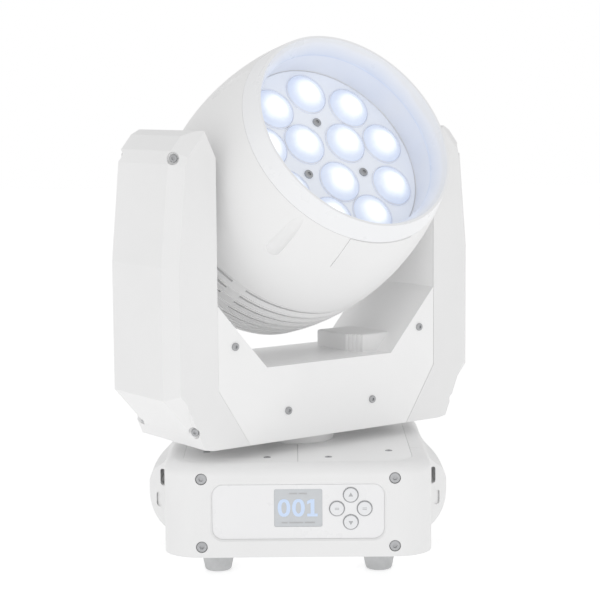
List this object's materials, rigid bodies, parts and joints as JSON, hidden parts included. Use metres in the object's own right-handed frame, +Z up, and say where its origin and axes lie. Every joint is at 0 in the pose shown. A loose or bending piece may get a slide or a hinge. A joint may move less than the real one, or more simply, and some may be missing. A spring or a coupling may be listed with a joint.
{
  "type": "moving head light",
  "caption": "White stage wash light: boxy base with display and buttons, panning yoke, and a tilting round head with recessed lenses.",
  "frame": {"origin": "on the floor, on the pan axis under the middle of the base", "axes": "+Z up along the pan axis, -Y out of the control panel, +X to the panel's right as it is read"},
  "size_m": [0.3134, 0.2732, 0.4515],
  "materials": {
    "white_moulding": "satin moulded",
    "white_gloss": "smooth",
    "white_painted_metal": "fine powder coat",
    "steel": "satin",
    "zinc_plated": "zinc plated",
    "cast_aluminium": "satin",
    "black_plastic": "matt",
    "blue_plastic": "matt",
    "grey_rubber": "matt",
    "belt_rubber": "matt",
    "circuit_board": "lacquered",
    "white_board": "lacquered",
    "display_glass": "polished",
    "lens_glass": "polished",
    "lens_plate_white": "satin",
    "motor_steel": "satin black",
    "button_grey": "satin"
  },
  "bodies": {
    "base": {"base_tray": "white_painted_metal", "base_front_housing": "white_moulding", "base_rear_housing": "white_moulding", "side_handle_left": "white_moulding", "side_handle_right": "white_moulding", "top_cover_left": "white_painted_metal", "top_cover_right": "white_painted_metal", "control_panel": "white_gloss", "display_module": "display_glass", "control_board": "circuit_board", "connector_panel": "white_painted_metal", "data_sockets": "zinc_plated", "power_inlet": "blue_plastic", "power_outlet": "black_plastic", "rubber_feet": "grey_rubber", "power_supply": "cast_aluminium", "pan_post": "steel", "pan_collar": "white_moulding", "pan_pulley": "cast_aluminium", "base_screws": "zinc_plated"},
    "yoke": {"yoke_chassis": "white_painted_metal", "yoke_front_plate": "white_painted_metal", "yoke_rear_plate": "white_painted_metal", "yoke_bottom_plate": "white_painted_metal", "pan_bearing": "steel", "arm_cover_left": "white_moulding", "arm_cover_right": "white_moulding", "pan_motor": "motor_steel", "pan_motor_cap": "white_moulding", "pan_belt": "belt_rubber", "tilt_motor_bracket": "steel", "tilt_motor": "motor_steel", "tilt_belt": "belt_rubber", "tilt_bearings": "steel", "yoke_screws": "zinc_plated"},
    "pan_pinion": {"pan_pinion": "cast_aluminium"},
    "tilt_pinion": {"tilt_pinion": "cast_aluminium"},
    "head": {"head_front_housing": "white_moulding", "head_rear_housing": "white_moulding", "front_bezel": "white_gloss", "label_plate": "white_moulding", "head_chassis": "cast_aluminium", "tilt_shaft_left": "steel", "tilt_shaft_right": "steel", "tilt_pulley": "cast_aluminium", "heat_sink": "cast_aluminium", "led_board": "white_board", "zoom_motor": "steel", "fan_frame": "black_plastic", "head_screws": "zinc_plated"},
    "lens_carriage": {"lens_plate": "lens_plate_white", "carriage_drive": "steel", "lenses": "lens_glass", "lens_plate_screws": "zinc_plated"},
    "zoom_screw": {"zoom_screw": "steel"},
    "fan_rotor": {"fan_rotor": "black_plastic"},
    "button_up": {"button_up": "button_grey"},
    "button_down": {"button_down": "button_grey"},
    "button_left": {"button_left": "button_grey"},
    "button_right": {"button_right": "button_grey"}
  },
  "joints": [
    {"name": "pan", "type": "hinge", "parent": "base", "child": "yoke", "pos_m": [0, 0, 0.12], "axis": [0, 0, 1], "range_deg": [-306, 234]},
    {"name": "pan_pinion_turn", "type": "hinge", "parent": "yoke", "child": "pan_pinion", "pos_m": [0.05784, 0.04203, 0.12], "axis": [0, 0, 1], "range_deg": [-1170, 1530]},
    {"name": "tilt", "type": "hinge", "parent": "yoke", "child": "head", "pos_m": [0, 0, 0.317], "axis": [0.809, 0.5878, 0], "range_deg": [-182.4, 67.6]},
    {"name": "tilt_pinion_turn", "type": "hinge", "parent": "yoke", "child": "tilt_pinion", "pos_m": [-0.11812, -0.08582, 0.184], "axis": [0.809, 0.5878, 0], "range_deg": [-684, 253.5]},
    {"name": "zoom", "type": "slide", "parent": "head", "child": "lens_carriage", "axis": [0.4952, -0.6816, 0.5388], "range_m": [-0.003, 0.024]},
    {"name": "zoom_screw_turn", "type": "hinge", "parent": "head", "child": "zoom_screw", "pos_m": [-0.01063, -0.0663, 0.28002], "axis": [0.4952, -0.6816, 0.5388], "range_deg": [-2160, 270]},
    {"name": "fan_spin", "type": "hinge", "parent": "head", "child": "fan_rotor", "pos_m": [-0.03268, 0.04498, 0.28144], "axis": [0.4952, -0.6816, 0.5388], "continuous": true},
    {"name": "press_up", "type": "slide", "parent": "base", "child": "button_up", "axis": [0, 1, 0], "range_m": [0, 0.0008], "stiffness_N_per_m": 1500},
    {"name": "press_down", "type": "slide", "parent": "base", "child": "button_down", "axis": [0, 1, 0], "range_m": [0, 0.0008], "stiffness_N_per_m": 1500},
    {"name": "press_left", "type": "slide", "parent": "base", "child": "button_left", "axis": [0, 1, 0], "range_m": [0, 0.0008], "stiffness_N_per_m": 1500},
    {"name": "press_right", "type": "slide", "parent": "base", "child": "button_right", "axis": [0, 1, 0], "range_m": [0, 0.0008], "stiffness_N_per_m": 1500}
  ],
  "couplings": [
    {"joint": "pan_pinion_turn", "follows": "pan", "ratio": -5},
    {"joint": "tilt_pinion_turn", "follows": "tilt", "ratio": 3.75},
    {"joint": "zoom_screw_turn", "follows": "zoom", "rad_per_m": -1570.8}
  ]
}
